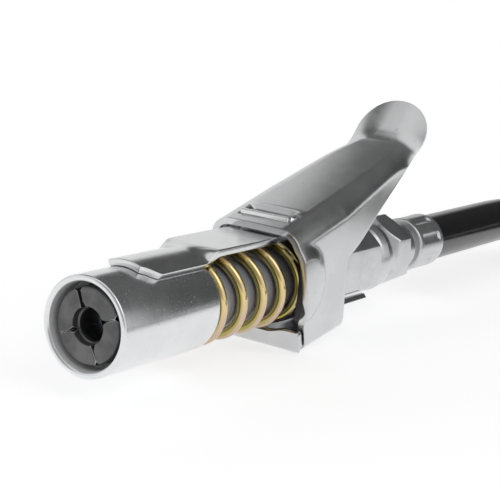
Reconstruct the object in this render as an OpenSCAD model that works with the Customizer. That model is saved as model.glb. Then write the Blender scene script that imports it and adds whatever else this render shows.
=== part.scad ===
// Quick-release grease coupler: a sliding sleeve closes four jaws on a grease nipple,
// and a thumb lever pulls the sleeve back to let go. A short grease hose feeds it.
// X runs along the coupler's axis from the mouth to the hose, +Z is the lever's side.
// The origin is on the axis, in the middle of the jaws' gripping lips.

/* [Jaws] */
// Diameter of the nipple head that the jaws' lips grip
nipple_d = 6.8; // [6.4:0.1:7.0]
// Length of the gripping lips
lip_len = 2; // [1.6:0.1:2.4]
// Gap between the sleeve's outside and the jaws' heads
jaw_gap = 2.3; // [2.2:0.05:2.4]
// Depth of the jaws' faces inside the mouth
jaw_recess = 1.2; // [0.8:0.1:2]
// Width of the slits between the jaws
jaw_slit = 0.5; // [0.3:0.1:0.8]
// Turn of the slits about the axis
jaw_roll = 67; // [0:1:89]

/* [Sleeve] */
// Outer diameter of the sliding sleeve
sleeve_d = 19; // [18.8:0.1:19.2]
// Length of the sleeve
sleeve_len = 29; // [27:0.5:33]
// Wall of the sleeve round its open mouth
mouth_wall = 1.3; // [1.1:0.05:1.35]
// How far the sleeve slides back
sleeve_travel = 3.3; // [2.8:0.1:3.4]

/* [Pull strap] */
// Thickness of the strap's sheet
strap_t = 1.4; // [1.2:0.1:1.5]
// Width of the strap
strap_w = 12.6; // [10:0.2:14]
// Setback of the strap's front edge from the sleeve's front
strap_setback = 10.4; // [6:0.2:14]
// Top of the strap's flat part above the axis
strap_flat_z = 11.2; // [11:0.1:11.3]

/* [Barrel and main spring] */
// Wall of the sleeve over the barrel
sleeve_wall = 2.5; // [2.45:0.05:2.55]
// Wire diameter of the main spring
spring_wire = 2.2; // [1.6:0.1:2.3]
// Open turns of the main spring
spring_turns = 4; // [3:1:6]
// Length of the main spring at rest
spring_len = 32.5; // [31:0.5:36]
// Thickness of the collar behind the main spring
collar_t = 3; // [2:0.5:4]

/* [Check valve] */
// Diameter of the check ball
ball_d = 5.5; // [5:0.1:5.8]
// Length of the ball's spring
ball_spring_len = 13; // [10:1:18]
// Wire diameter of the ball's spring
ball_spring_wire = 0.6; // [0.4:0.1:0.8]

/* [Thumb lever] */
// Thickness of the lever's sheet
lever_t = 1.4; // [1.2:0.1:1.5]
// Reach of the lever's walls past the sleeve, on each side
lever_reach = 1.5; // [1.4:0.1:2]
// Outer width at the thumb pad
pad_w = 18.2; // [16:0.2:20]
// Slope of the lever's back
lever_slope = 15.2; // [14:0.2:16]
// Length of the lever's straight back
lever_len = 52.3; // [46:0.5:58]
// Slope of the thumb pad
pad_slope = 50; // [40:1:58]
// Length of the thumb pad past its bend
pad_len = 9; // [7:0.5:11]
// Height of the lever's walls over the bottom plate
wall_drop = 27.5; // [26.5:0.5:30]
// Radius of the pivot ears
ear_r = 7.4; // [6:0.1:7.6]

/* [Rear body] */
// Width across flats of the rear body
body_af = 16.5; // [15.5:0.1:17]
// Length of the rear body
body_len = 37.1; // [34:0.1:42]
// Length of the rear body's turned round end
body_round = 6.5; // [3:0.1:8]

/* [Hose end] */
// Width across flats of the hose fitting
fitting_af = 15.4; // [13.4:0.1:16]
// Length of the hose fitting's hexagon
fitting_len = 8.2; // [6:0.1:12]
// Outer diameter of the crimped ferrule
ferrule_d = 13.2; // [12.6:0.1:14]
// Length of the crimped ferrule
ferrule_len = 12.5; // [10:0.5:20]
// Outer diameter of the hose
hose_d = 11.6; // [9:0.1:12]
// Width across flats of the far fitting
far_af = 14; // [12:0.5:14]
// Diameter of the far fitting's thread
far_thread_d = 10; // [9:0.1:10.3]
// Length of the far fitting's thread
far_thread_len = 10; // [7:0.5:14]

/* [Hidden] */
$fn = 96;

// Clearances
fit = 0.05;
slide_fit = 0.08;
loose = 0.3;
over = 1;

// Colours
STEEL = [0.74, 0.75, 0.77];
PLATED = [0.82, 0.83, 0.83];
DARK = [0.22, 0.22, 0.23];
GOLD = [0.72, 0.56, 0.25];
RUBBER = [0.06, 0.06, 0.06];

// Sizes that follow the sleeve's diameter
mouth_d = sleeve_d - 2 * mouth_wall;
barrel_d = sleeve_d - 2 * sleeve_wall;
jaw_head_d = sleeve_d - 2 * jaw_gap;
lever_w = sleeve_d + 2 * lever_reach;

// Axial places, from the mouth to the hose
lip_lead = 0.8;
lip_edge = 0.2;
sleeve_x0 = -(jaw_recess + lip_lead + lip_len / 2);
jaw_x0 = sleeve_x0 + jaw_recess;
lip_x0 = jaw_x0 + lip_lead;
lip_x1 = lip_x0 + lip_len;
sleeve_x1 = sleeve_x0 + sleeve_len;
collar_x0 = sleeve_x1 + spring_len;
collar_x1 = collar_x0 + collar_t;
body_x1 = collar_x1 + body_len;
washer_t = 1.2;
fitting_x0 = body_x1 + washer_t;
fitting_x1 = fitting_x0 + fitting_len;
fitting_collar_len = 5.5;
groove_len = 2;
ferrule_x0 = fitting_x1 + fitting_collar_len + groove_len;
ferrule_x1 = ferrule_x0 + ferrule_len;

// Jaws: a head that the sleeve closes, a slim tail and a hook round the barrel's nose
jaw_head_r = jaw_head_d / 2;
lip_r = nipple_d / 2;
jaw_head_len = 5.3;
jaw_neck = 0.7;
tail_r = jaw_head_r - 0.7;
tail_t = 1.1;
hook_len = 2;
hook_depth = 0.85;
cavity_r = lip_r + 0.8;
cavity_x0 = lip_x1 + 0.6;
tail_x0 = jaw_x0 + 7.8;
hook_x0 = tail_x0 + 3.5;
hook_x1 = hook_x0 + hook_len;
hook_x = (hook_x0 + hook_x1) / 2;
ring_wire = 1;
ring_groove = 0.5;
ring_side = 0.15;

// Barrel and its bore
barrel_r = barrel_d / 2;
nose_r = tail_r - tail_t - 0.5;
neck_r = tail_r - tail_t - hook_depth - 0.25;
shoulder_x = hook_x1 + loose;
nose_x0 = tail_x0 + 0.2;
seal_r = 3.7;
seal_len = 2.4;
channel_r = 1.5;
valve_r = ball_d / 2 + 0.45;
seat_x = shoulder_x + 8;
ball_x = seat_x - channel_r + (ball_d / 2 + fit) * sqrt(2);
ball_spring_r = ball_d / 2 - ball_spring_wire / 2;
ball_spring_x0 = ball_x + ball_d / 2 * 0.62;
stop_x = ball_spring_x0 + ball_spring_len;
stop_len = 3;
thread_r = barrel_r - 1.1;
thread_len = 13;

// Main spring
spring_play = 0.15;
spring_r = barrel_r + spring_play + spring_wire / 2;

// Lever frame: u runs up the lever's back from its front edge, v stands out of the back
lever_x = collar_x0 - 9;
lever_z = strap_flat_z + lever_t / cos(lever_slope) + 0.35;
lever_half = lever_w / 2;
pad_half = pad_w / 2;
pad_bend = 8;
arch_drop = 13.4;
front_len = 19;
shoulder_r = 4.75;
wall_in = lever_half - lever_t;
leg = 4.6;
leg_lap = 0.6;
leg_nest = 0.06;
foot_bend = 2.4;
slot_u = 2.9;
pivot_u = 0.8;
pivot_v = -12.65;
ear_y = wall_in + lever_t - 0.1;
dome_edge = 1.8;
dome_h = lever_t + 0.05;

function lever_point(u, v) = [
  lever_x + u * cos(lever_slope) - v * sin(lever_slope),
  lever_z + u * sin(lever_slope) + v * cos(lever_slope)
];

pivot = lever_point(pivot_u, pivot_v);
foot_front = lever_point(0, -wall_drop);
foot_rear = lever_point(15, -wall_drop - 1.5);
foot_tilt = atan2(foot_rear[1] - foot_front[1], foot_rear[0] - foot_front[0]);
tab_x = lever_point(slot_u, -lever_t)[0] + 0.2;
tab_top = strap_flat_z + 3.55;

// Strap on the sleeve
strap_in_r = sleeve_d / 2 + slide_fit;
strap_half = strap_w / 2;
tab_half = strap_half - 0.4;
lug = [3, 4, 1.6];
lug_x = sleeve_x0 + strap_setback + 4;

// Hose route: straight out of the ferrule, down to the floor and back beside the coupler
hose_r = hose_d / 2;
ROUTE = [
  [128, 0, 0], [141, 0, 0], [154, 0, 0], [166, 0, 0], [178, 0, -0.3], [193.5, -2.5, -1.4],
  [207.5, -9.5, -3], [218.5, -20.5, -4.7], [225.5, -34.5, -6.1], [228, -50, -7],
  [225.5, -65.5, -7.4], [218.5, -79.5, -7.4], [207.5, -90.5, -7.4], [193.5, -97.5, -7.4],
  [178, -100, -7.4], [162, -100, -7.4], [146, -100, -7.3], [130, -100, -7], [115, -100, -6.7],
  [100, -100, -6.4], [85, -100, -6.3]
];
hose_sides = 12;
far_end = ROUTE[len(ROUTE) - 1];

// Solid of revolution about the X axis, from points [x, r]
module revolve(points) {
  rotate([90, 0, 90])
    rotate_extrude()
      polygon([for (p = points) [p[1], p[0]]]);
}

module along_x(x, r, length) {
  translate([x, 0, 0])
    rotate([0, 90, 0])
      cylinder(r = r, h = length);
}

// Turned end of a hexagon: inset of its round edge from the flats, and slope of its chamfer
TURNED = [0.2, 30];

// Hexagonal bar along X with flats facing +Y and -Y, turned at both ends and round at its rear end
module hex_bar(x0, x1, af, front = TURNED, rear = TURNED, round_end = 0, edge = 0) {
  corner = af / sqrt(3);
  front_r = af / 2 - front[0];
  rear_r = af / 2 - rear[0];
  round_x = x1 - round_end;
  front_x = x0 + (corner - front_r) * tan(front[1]);
  rear_x = round_x - (corner - rear_r) * tan(rear[1]);
  intersection() {
    translate([x0, 0, 0])
      rotate([0, 90, 0])
        cylinder(r = corner, h = x1 - x0, $fn = 6);
    revolve([
      [x0, 0], [x0, front_r], [front_x, corner], [front_x, corner + over],
      [rear_x, corner + over], [rear_x, corner], [round_x, rear_r],
      if (round_end > 0) [x1 - edge, rear_r],
      if (round_end > 0) [x1, rear_r - edge],
      [x1, 0]
    ]);
  }
}

// Closed skin over rings of points, each with the same even count; the ends are strips across the ring
module skin(rings) {
  n = len(rings[0]);
  m = len(rings);
  points = [for (ring = rings) each ring];
  sides = [
    for (i = [0:m - 2], j = [0:n - 1])
      let (a = i * n + j, b = i * n + (j + 1) % n)
        each [[a, b + n, b], [a, a + n, b + n]]
  ];
  near_end = [for (j = [0:n / 2 - 2]) [j, j + 1, n - 2 - j, n - 1 - j]];
  far_base = (m - 1) * n;
  far_face = [for (q = near_end) [for (k = [3:-1:0]) far_base + q[k]]];
  polyhedron(points = points, faces = concat(near_end, sides, far_face), convexity = 6);
}

function unit(v) = v / norm(v);

// Coil of round wire about X: half a turn at each end lies close to its seat
module coil(x0, length, r, wire, turns, steps, sides) {
  closed = 0.5;
  lead = 0.45 * wire;
  pitch = (length - wire - 2 * lead - 0.1) / turns;
  all_turns = turns + 2 * closed;
  count = all_turns * steps;
  function rise(t) =
    (wire + 0.1) / 2 + lead * min(t, closed) / closed
    + pitch * max(0, min(t, all_turns - closed) - closed)
    + lead * max(0, t - all_turns + closed) / closed;
  skin([
    for (i = [0:count])
      let (t = i / steps, a = 360 * t, x = x0 + rise(t))
        [for (j = [sides - 1:-1:0])
          let (b = 360 * j / sides, q = r + wire / 2 * cos(b))
            [x + wire / 2 * sin(b), q * cos(a), q * sin(a)]]
  ]);
}

module outer_sleeve() {
  outer = sleeve_d / 2;
  mouth = mouth_d / 2;
  bore = barrel_r + slide_fit;
  chamber = jaw_head_r + 0.15;
  mouth_x1 = sleeve_x0 + 4.4;
  taper_x1 = mouth_x1 + 1;
  chamber_x1 = shoulder_x + 0.5;
  color(PLATED)
    difference() {
      revolve([
        [sleeve_x0, mouth + 0.35], [sleeve_x0, outer - 0.4], [sleeve_x0 + 0.4, outer],
        [sleeve_x1 - 0.4, outer], [sleeve_x1, outer - 0.4], [sleeve_x1, bore],
        [chamber_x1, bore], [chamber_x1, chamber], [taper_x1, chamber],
        [mouth_x1, mouth], [sleeve_x0 + 0.35, mouth]
      ]);
      translate([lug_x - 0.1, -lug[1] / 2 - 0.1, 0])
        cube([lug[0] + 0.2, lug[1] + 0.2, sleeve_d]);
    }
}

// One cross-section of the strap: flat 0 follows the sleeve, flat 1 is a plain strip
function strap_ring(x, half, flat) =
  let (
    steps = 8,
    ys = [for (i = [0:steps]) half * (1 - 2 * i / steps)],
    top = strap_flat_z,
    arc = function (y, r) sqrt(r * r - y * y),
    upper = [for (y = ys) [x, y, (1 - flat) * arc(y, strap_in_r + strap_t) + flat * top]],
    lower = [for (y = ys) [x, y, (1 - flat) * arc(y, strap_in_r) + flat * (top - strap_t)]]
  )
    concat(upper, [for (i = [steps:-1:0]) lower[i]]);

// One cross-section of the bend that turns the strap up into its tab
function bend_ring(angle) =
  let (
    inner = 1,
    cx = tab_x - inner,
    cz = strap_flat_z + inner,
    ring = strap_ring(0, tab_half, 1)
  )
    [for (p = ring)
      let (q = inner + strap_flat_z - p[2])
        [cx + q * sin(angle), p[1], cz - q * cos(angle)]];

module pull_strap() {
  x0 = sleeve_x0 + strap_setback;
  step_x = sleeve_x1 - 0.5;
  step_len = 3.5;
  bend_x = tab_x - 1;
  rise = [for (t = [0:0.25:1]) [step_x + step_len * t, (1 - cos(180 * t)) / 2]];
  tab = bend_ring(90);
  color(PLATED) {
    skin(concat(
      [strap_ring(x0, 0.62 * strap_half, 0), strap_ring(x0 + 2.5, strap_half, 0)],
      [for (r = rise) strap_ring(r[0], strap_half, r[1])],
      [strap_ring(bend_x - 4, strap_half, 1)],
      [for (a = [0:18:90]) bend_ring(a)],
      [[for (p = tab) [p[0], p[1], tab_top]]]
    ));
    translate([lug_x, -lug[1] / 2, strap_in_r + 0.3 - lug[2]])
      cube(lug);
  }
}

module jaw(index) {
  edge = 0.5;
  neck_x = jaw_x0 + jaw_head_len;
  tail_in = tail_r - tail_t;
  groove = ring_wire / 2 + ring_side;
  color(DARK)
    rotate([jaw_roll + 90 * index, 0, 0])
      intersection() {
        revolve([
          [jaw_x0, lip_r + lip_edge], [jaw_x0, jaw_head_r - edge], [jaw_x0 + edge, jaw_head_r],
          [neck_x, jaw_head_r], [neck_x + jaw_neck, tail_r],
          [hook_x - groove, tail_r], [hook_x - groove, tail_r - ring_groove],
          [hook_x + groove, tail_r - ring_groove], [hook_x + groove, tail_r],
          [hook_x1, tail_r], [hook_x1, tail_in - hook_depth], [hook_x0, tail_in - hook_depth],
          [hook_x0, tail_in], [tail_x0, tail_in], [tail_x0, cavity_r],
          [cavity_x0, cavity_r], [lip_x1, lip_r], [lip_x0, lip_r]
        ]);
        translate([sleeve_x0, jaw_slit / 2, jaw_slit / 2])
          cube([hook_x1 - sleeve_x0 + over, sleeve_d, sleeve_d]);
      }
}

module jaw_1() { jaw(0); }
module jaw_2() { jaw(1); }
module jaw_3() { jaw(2); }
module jaw_4() { jaw(3); }

// Round ring that keeps the jaws' hooks in the barrel's neck
module jaw_ring() {
  color(RUBBER)
    translate([hook_x, 0, 0])
      rotate([0, 90, 0])
        rotate_extrude()
          translate([tail_r - ring_groove + fit + ring_wire / 2, 0])
            circle(d = ring_wire, $fn = 32);
}

// Cup seal that the nipple's tip presses on
module lip_seal() {
  lip = 0.7;
  color(RUBBER)
    revolve([
      [nose_x0 - lip, channel_r + 0.9], [nose_x0 - lip, seal_r - 0.8], [nose_x0, seal_r - fit],
      [nose_x0 + seal_len, seal_r - fit], [nose_x0 + seal_len, channel_r],
      [nose_x0 + 0.6, channel_r]
    ]);
}

module barrel() {
  thread_x1 = collar_x1 + thread_len;
  color(STEEL)
    revolve([
      [nose_x0, seal_r], [nose_x0, nose_r - 0.2], [nose_x0 + 0.2, nose_r],
      [hook_x0 - loose, nose_r], [hook_x0 - loose, neck_r], [shoulder_x, neck_r],
      [shoulder_x, barrel_r], [collar_x1, barrel_r], [collar_x1, thread_r],
      [thread_x1 - 0.5, thread_r], [thread_x1, thread_r - 0.5], [thread_x1, valve_r],
      [seat_x + valve_r - channel_r, valve_r], [seat_x, channel_r],
      [nose_x0 + seal_len, channel_r], [nose_x0 + seal_len, seal_r]
    ]);
}

module check_ball() {
  color(STEEL)
    translate([ball_x, 0, 0])
      sphere(d = ball_d, $fn = 64);
}

module check_spring() {
  color(STEEL)
    coil(ball_spring_x0, ball_spring_len, ball_spring_r, ball_spring_wire, 6, 12, 8);
}

// Drilled plug behind the ball's spring
module spring_stop() {
  color(STEEL)
    revolve([
      [stop_x, channel_r], [stop_x, valve_r - fit],
      [stop_x + stop_len, valve_r - fit], [stop_x + stop_len, channel_r]
    ]);
}

module main_spring() {
  color(GOLD)
    coil(sleeve_x1, spring_len, spring_r, spring_wire, spring_turns, 20, 10);
}

// Disc behind the main spring, with an ear on each side that the lever rocks on
module spring_collar() {
  inner = spring_r + spring_wire / 2 + 0.2;
  color(STEEL)
    difference() {
      union() {
        along_x(collar_x0, wall_in - 0.2, collar_t);
        for (side = [-1, 1])
          intersection() {
            translate([pivot[0], 0, pivot[1]])
              rotate([90 * side, 0, 0])
                rotate_extrude()
                  polygon([
                    [0, 0], [ear_r, 0], [ear_r, ear_y - 0.8], [ear_r - 0.9, ear_y], [0, ear_y]
                  ]);
            union() {
              translate([pivot[0], -sleeve_d, -sleeve_d])
                cube([collar_x1 - pivot[0], sleeve_d - inner, 2 * sleeve_d]);
              translate([pivot[0], inner, -sleeve_d])
                cube([collar_x1 - pivot[0], sleeve_d - inner, 2 * sleeve_d]);
              translate([collar_x0, -sleeve_d, -sleeve_d])
                cube([collar_t, 2 * sleeve_d, 2 * sleeve_d]);
            }
          }
      }
      along_x(collar_x0 - over, barrel_r + fit, collar_t + 2 * over);
    }
}

// Half outline of the lever's back, from its crown to its edge: [y, depth, normal y, normal up]
function arch_half(half, flat, drop) =
  let (
    count = 9,
    reach = half - flat,
    turn = drop < reach ? 2 * atan(drop / reach) : 90,
    r = reach / sin(turn),
    last = drop > reach ? count : count + 1,
    edge = drop > reach ? drop : r * (1 - cos(turn))
  )
    concat(
      [[0, 0, 0, 1], [flat, 0, 0, 1]],
      [for (j = [1:count])
        let (a = turn * j / last)
          [flat + r * sin(a), r * (1 - cos(a)), sin(a), cos(a)]],
      [[half, edge, sin(turn), cos(turn)]]
    );

// Closed outline of the bent sheet: [y, depth] across its outer face and home along its inner face
function arch_loop(half, flat, drop, sink = 0) =
  let (
    points = arch_half(half, flat, drop),
    n = len(points) - 1,
    deep = lever_t - sink,
    outer = [for (p = points) [p[0] - sink * p[2], p[1] + sink * p[3]]],
    inner = [for (p = points) [p[0] - deep * p[2], p[1] + deep * p[3]]]
  )
    concat(
      [for (i = [n:-1:0]) outer[i]],
      [for (i = [1:n]) [-outer[i][0], outer[i][1]]],
      [for (i = [n:-1:1]) [-inner[i][0], inner[i][1]]],
      [for (i = [0:n]) inner[i]]
    );

// The same outline set square to the lever's back at a place on it
function arch_ring(half, flat, drop, origin, slope, sink = 0) = [
  for (p = arch_loop(half, flat, drop, sink))
    [origin[0] + p[1] * sin(slope), p[0], origin[1] - p[1] * cos(slope)]
];

// Tail of the lever: it narrows and flattens up to a bend and ends in a round thumb pad
module lever_tail() {
  bend_u = lever_len - 6;
  bend = lever_point(lever_len, 0);
  bend_c = bend + pad_bend * [-sin(lever_slope), cos(lever_slope)];
  pad = bend_c + pad_bend * [sin(pad_slope), -cos(pad_slope)];
  bend_steps = 5;
  pad_flat = 1.5;
  pad_drop = 2.2;
  pad_turn = 2 * atan(pad_drop / (pad_half - pad_flat));
  pad_r = (pad_half - pad_flat) / sin(pad_turn);
  half_at = [[front_len, lever_half], [bend_u, pad_half]];
  flat_at = [
    [front_len, lever_half - shoulder_r], [bend_u - 6, pad_half - 3.1], [bend_u, pad_half - 3.7],
    [lever_len, pad_half - 4.9], [lever_len + 3, pad_flat]
  ];
  drop_at = [
    [front_len, arch_drop], [front_len + 9.7, 9.9], [front_len + 16, 7.3],
    [bend_u, 4], [lever_len + 3, pad_drop]
  ];
  root_u = front_len - 0.6;
  back = [root_u, front_len + 1, 24, 29, 35, 41, bend_u, lever_len - 3];
  skin(concat(
    [for (u = back)
      arch_ring(
        lookup(u, half_at), lookup(u, flat_at), lookup(u, drop_at), lever_point(u, 0), lever_slope,
        u == root_u ? 0.15 : 0
      )],
    [for (i = [0:bend_steps])
      let (
        a = lever_slope + (pad_slope - lever_slope) * i / bend_steps,
        u = lever_len + 3 * i / bend_steps
      )
        arch_ring(pad_half, lookup(u, flat_at), lookup(u, drop_at), bend_c + pad_bend * [sin(a), -cos(a)], a)],
    [for (a = [20, 38, 54, 68, 80])
      let (
        half = pad_half * cos(a),
        out = max(0, half - pad_flat),
        drop = max(0.02, pad_r - sqrt(pad_r * pad_r - out * out)),
        place = pad + pad_len * sin(a) * [cos(pad_slope), sin(pad_slope)]
      )
        arch_ring(half, min(pad_flat, 0.6 * half), drop, place, pad_slope)]
  ));
}

// Outline of an upturned channel with rounded shoulders
module channel_outline(half, r, depth) {
  translate([-half + r, -r])
    square([2 * (half - r), r]);
  for (side = [-1, 1])
    translate([side * (half - r), -r])
      circle(r = r);
  translate([-half, -depth])
    square([2 * half, depth - r]);
}

// Front of the lever: a channel over the barrel with its bulges, cut to the outline of its walls
module lever_front() {
  lift = (leg - leg_lap) / cos(lever_slope - foot_tilt);
  arch = arch_loop(lever_half, lever_half - shoulder_r, 2 * wall_drop);
  outline = [
    lever_point(0, over), lever_point(0, -wall_drop + lift),
    foot_rear + (leg - leg_lap) * [-sin(foot_tilt), cos(foot_tilt)] + [0.15, 0],
    lever_point(front_len - 1, -arch_drop - 0.8), lever_point(front_len, -arch_drop),
    lever_point(front_len, over)
  ];
  intersection() {
    union() {
      translate([lever_x, 0, lever_z])
        rotate([0, -lever_slope, 0])
          rotate([90, 0, 90])
            translate([0, 0, -over])
              linear_extrude(front_len + 2 * over)
                polygon([for (p = arch) [p[0], -p[1]]]);
      for (side = [-1, 1])
        bulge(side);
    }
    rotate([90, 0, 0])
      translate([0, 0, -lever_w])
        linear_extrude(2 * lever_w)
          polygon(outline);
  }
}

// Plate that ties the walls under the barrel, with its bends and a relief slot at each wall
module lever_foot() {
  lip = 2.6;
  relief = 1.2;
  translate([foot_front[0], 0, foot_front[1]])
    rotate([0, -foot_tilt, 0])
      rotate([90, 0, 90])
        difference() {
          translate([0, 0, -lip])
            linear_extrude(norm(foot_rear - foot_front) + lip)
              mirror([0, 1])
                difference() {
                  channel_outline(lever_half - leg_nest, foot_bend, leg);
                  translate([0, -lever_t])
                    channel_outline(wall_in + leg_nest, foot_bend - lever_t, leg);
                }
          translate([-lever_w, foot_bend, -relief])
            cube([2 * lever_w, leg, relief - 0.3]);
        }
}

// Tabs bent in from the walls under the rear body, which stop the lever at rest
module heel_tabs() {
  tab_in = body_af / 2 - 0.25;
  tab_t = 1.1;
  tab_len = 15.5;
  top = -body_af / sqrt(3) / 2 - 0.6;
  root = foot_rear[0] - 3;
  for (side = [-1, 1])
    scale([1, side, 1]) {
      translate([root, tab_in, top - tab_t])
        cube([tab_len, wall_in - tab_in - 0.2, tab_t]);
      translate([root + 0.2, tab_in + 0.2, top - tab_t + 0.1])
        cube([1.6, wall_in - tab_in + 0.4, tab_t - 0.2]);
    }
}

// Bulge in a wall, over the ear that the lever rocks on
module bulge(side) {
  root = 0.4;
  rise = lever_t + dome_h - root;
  translate([pivot[0], side * (wall_in + root), pivot[1]])
    rotate([-90 * side, 0, 0])
      rotate_extrude()
        intersection() {
          union() {
            square([ear_r, rise]);
            translate([ear_r, rise - dome_edge])
              circle(r = dome_edge, $fn = 48);
          }
          square([ear_r + dome_edge, rise]);
        }
}

module thumb_lever() {
  color(PLATED) {
    difference() {
      lever_front();
      for (side = [-1, 1])
        translate([pivot[0], 0, pivot[1]])
          rotate([-90 * side, 0, 0])
            rotate_extrude()
              polygon([
                [0, 0], [ear_r + 0.1, 0], [ear_r + 0.1, ear_y - 0.75], [ear_r - 0.75, ear_y + 0.15],
                [0, ear_y + 0.15]
              ]);
      translate([lever_x, 0, lever_z])
        rotate([0, -lever_slope, 0])
          translate([slot_u, -tab_half - loose, -2 * lever_t])
            cube([4.5, 2 * (tab_half + loose), 4 * lever_t]);
    }
    lever_foot();
    heel_tabs();
    lever_tail();
  }
}

// Hexagonal body that takes the barrel at the front and the hose fitting at the back
module rear_body() {
  front_r = barrel_r + 1.3;
  round_len = 5.5;
  inlet_r = 5;
  inlet_len = 14;
  channel = 2.5;
  color(PLATED)
    difference() {
      union() {
        along_x(collar_x1, front_r, round_len + over);
        hex_bar(collar_x1 + round_len, body_x1, body_af, TURNED, [0.05, 48], body_round, 0.8);
      }
      along_x(collar_x1 - over, thread_r + fit, thread_len + over + 0.5);
      along_x(collar_x1, channel, body_len);
      along_x(body_x1 - inlet_len, inlet_r + fit, inlet_len + over);
    }
}

module inlet_washer() {
  color(DARK)
    revolve([
      [body_x1, 5.1], [body_x1, fitting_af / 2 - 0.9],
      [fitting_x0, fitting_af / 2 - 0.9], [fitting_x0, 5.1]
    ]);
}

module hose_fitting() {
  thread = 12;
  bore = 1.8;
  stem_r = 2.6;
  color(PLATED)
    difference() {
      union() {
        along_x(fitting_x0 - washer_t - thread, 5, thread + washer_t + over);
        hex_bar(fitting_x0, fitting_x1, fitting_af, [0.8, 45]);
        along_x(fitting_x1 - over, fitting_af / 2 - 1.6, fitting_collar_len + over);
        along_x(fitting_x1, 5, fitting_collar_len + groove_len);
        along_x(fitting_x1, stem_r, fitting_collar_len + groove_len + ferrule_len);
      }
      along_x(fitting_x0 - 2 * thread, bore, 3 * thread + fitting_len + ferrule_len);
    }
}

// Crimped sleeve, pressed on the hose by eight jaws that leave flutes
module crimp(length) {
  flutes = 8;
  flute_r = 2;
  difference() {
    revolve([
      [0, 2.6 + fit], [0, ferrule_d / 2 - 0.5], [0.5, ferrule_d / 2],
      [length - 0.5, ferrule_d / 2], [length, ferrule_d / 2 - 0.5], [length, 2.6 + fit]
    ]);
    for (i = [0:flutes - 1])
      rotate([360 / flutes * (i + 0.5), 0, 0])
        translate([2, 0, ferrule_d / 2 + flute_r - 0.5])
          rotate([0, 90, 0])
            cylinder(r = flute_r, h = length - 4);
  }
}

module ferrule() {
  color(PLATED)
    translate([ferrule_x0, 0, 0])
      crimp(ferrule_len);
}

// Hose: one tube swept along its route
module hose() {
  last = len(ROUTE) - 1;
  color(RUBBER)
    skin([
      for (i = [0:last])
        let (
          along = unit(i == 0 ? [1, 0, 0] : i == last ? [-1, 0, 0] : ROUTE[i + 1] - ROUTE[i - 1]),
          side = unit(cross(along, [0, 0, 1])),
          up = cross(side, along)
        )
          [for (j = [hose_sides - 1:-1:0])
            ROUTE[i] + hose_r * (cos(360 * j / hose_sides) * side + sin(360 * j / hose_sides) * up)]
    ]);
}

module far_ferrule() {
  color(PLATED)
    translate(far_end)
      rotate([0, 0, 180])
        crimp(ferrule_len);
}

// Threaded end for a grease gun
module far_fitting() {
  hex_len = 9;
  hex_x = ferrule_len + groove_len;
  color(PLATED)
    translate(far_end)
      rotate([0, 0, 180])
        difference() {
          union() {
            along_x(0, 2.6, hex_x + over);
            along_x(ferrule_len, 5, groove_len + over);
            rotate([30, 0, 0])
              hex_bar(hex_x, hex_x + hex_len, far_af);
            along_x(hex_x, far_thread_d / 2, hex_len + far_thread_len);
          }
          along_x(-over, 1.8, hex_x + hex_len + far_thread_len + 2 * over);
        }
}

outer_sleeve();
pull_strap();
jaw_1();
jaw_2();
jaw_3();
jaw_4();
jaw_ring();
lip_seal();
barrel();
check_ball();
check_spring();
spring_stop();
main_spring();
spring_collar();
thumb_lever();
rear_body();
inlet_washer();
hose_fitting();
ferrule();
hose();
far_ferrule();
far_fitting();
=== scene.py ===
import math

import bmesh
import bpy
import numpy as np
from mathutils import Matrix, Vector


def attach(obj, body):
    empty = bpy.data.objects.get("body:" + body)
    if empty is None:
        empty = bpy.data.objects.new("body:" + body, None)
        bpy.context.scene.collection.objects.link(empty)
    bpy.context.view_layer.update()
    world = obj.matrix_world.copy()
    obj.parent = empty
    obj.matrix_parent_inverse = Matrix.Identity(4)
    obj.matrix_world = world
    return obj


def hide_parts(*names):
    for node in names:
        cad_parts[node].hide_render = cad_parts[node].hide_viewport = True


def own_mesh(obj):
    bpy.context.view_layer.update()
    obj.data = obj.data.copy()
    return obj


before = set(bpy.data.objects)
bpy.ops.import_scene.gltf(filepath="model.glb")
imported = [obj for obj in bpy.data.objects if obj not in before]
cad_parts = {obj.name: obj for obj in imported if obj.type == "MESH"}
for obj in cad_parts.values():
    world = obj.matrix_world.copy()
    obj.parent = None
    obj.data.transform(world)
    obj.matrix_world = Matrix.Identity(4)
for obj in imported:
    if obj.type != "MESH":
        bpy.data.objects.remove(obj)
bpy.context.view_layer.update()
scene = bpy.context.scene
scene.view_settings.view_transform = "Standard"
MM = 0.001
TAU = 2 * math.pi


# Camera, fitted to the photograph

CAMERA_AT = (-0.18824, -0.15242, 0.06796)
CAMERA_ANGLES = (-57.27, 12.13, 5.40)  # azimuth, elevation and roll
CAMERA_LENS, CAMERA_SENSOR = 100.8, 36


def make_camera():
    azimuth, elevation, roll = (math.radians(a) for a in CAMERA_ANGLES)
    back = Vector((
        math.sin(azimuth) * math.cos(elevation),
        -math.cos(azimuth) * math.cos(elevation),
        math.sin(elevation),
    ))
    right = Vector((0, 0, 1)).cross(back).normalized()
    up = back.cross(right)
    turned_right = math.cos(roll) * right + math.sin(roll) * up
    turned_up = math.cos(roll) * up - math.sin(roll) * right
    rotation = Matrix((turned_right, turned_up, back)).transposed().to_4x4()
    data = bpy.data.cameras.new("camera")
    data.sensor_width = CAMERA_SENSOR
    data.lens = CAMERA_LENS
    data.clip_start = 0.01
    data.clip_end = 10
    camera = bpy.data.objects.new("camera", data)
    scene.collection.objects.link(camera)
    camera.matrix_world = Matrix.Translation(Vector(CAMERA_AT)) @ rotation
    scene.camera = camera


make_camera()


# Materials

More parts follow.
